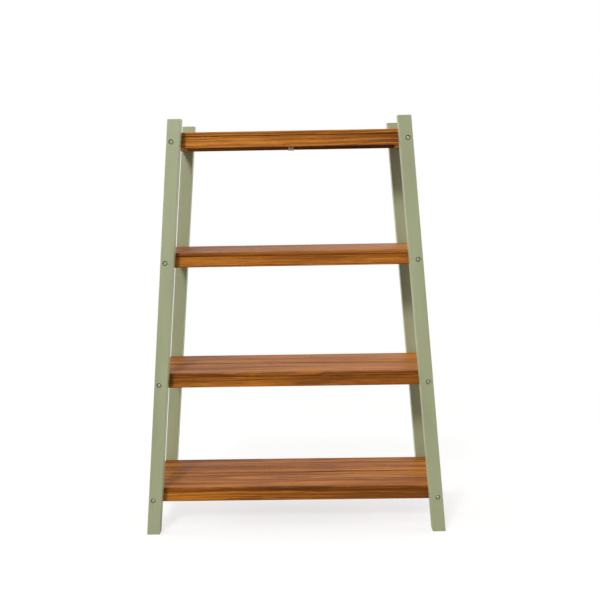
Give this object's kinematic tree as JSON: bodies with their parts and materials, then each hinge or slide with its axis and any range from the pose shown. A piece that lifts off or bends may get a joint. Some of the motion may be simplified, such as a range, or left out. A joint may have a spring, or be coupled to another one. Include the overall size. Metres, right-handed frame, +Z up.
{
  "type": "ladder shelf",
  "caption": "Free-standing ladder shelf: square painted posts that lean in towards the top carry open slatted hardwood shelves between them.",
  "frame": {"origin": "on the floor, at the middle of the footprint of the feet", "axes": "+Z up, +Y towards the back, +X towards the right as seen from the front"},
  "size_m": [0.88, 0.38, 1.2],
  "materials": {
    "painted_post": "satin sage green paint on solid wood",
    "shelf_wood": "oiled orange-brown hardwood, satin",
    "frame_wood": "oiled hardwood, satin",
    "zinc_steel": "bright zinc plate",
    "dowel_beech": "raw beech",
    "ivory_steel": "ivory powder coat"
  },
  "bodies": {
    "root": {"left_front_post": "painted_post", "right_front_post": "painted_post", "left_rear_post": "painted_post", "right_rear_post": "painted_post", "bottom_front_slat": "shelf_wood", "bottom_rear_slat": "shelf_wood", "bottom_front_apron": "shelf_wood", "bottom_rear_apron": "shelf_wood", "bottom_left_end_rail": "frame_wood", "bottom_right_end_rail": "frame_wood", "bottom_batten": "frame_wood", "bottom_slat_screws": "zinc_steel", "bottom_dowels": "dowel_beech", "lower_front_slat": "shelf_wood", "lower_rear_slat": "shelf_wood", "lower_front_apron": "shelf_wood", "lower_rear_apron": "shelf_wood", "lower_left_end_rail": "frame_wood", "lower_right_end_rail": "frame_wood", "lower_batten": "frame_wood", "lower_slat_screws": "zinc_steel", "lower_dowels": "dowel_beech", "upper_front_slat": "shelf_wood", "upper_rear_slat": "shelf_wood", "upper_front_apron": "shelf_wood", "upper_rear_apron": "shelf_wood", "upper_left_end_rail": "frame_wood", "upper_right_end_rail": "frame_wood", "upper_batten": "frame_wood", "upper_slat_screws": "zinc_steel", "upper_dowels": "dowel_beech", "top_front_slat": "shelf_wood", "top_rear_slat": "shelf_wood", "top_front_apron": "shelf_wood", "top_rear_apron": "shelf_wood", "top_left_end_rail": "frame_wood", "top_right_end_rail": "frame_wood", "top_batten": "frame_wood", "top_slat_screws": "zinc_steel", "top_dowels": "dowel_beech", "front_bolts": "zinc_steel", "rear_bolts": "zinc_steel", "barrel_nuts": "zinc_steel", "tether_bracket": "ivory_steel", "tether_screw": "zinc_steel"}
  },
  "joints": []
}
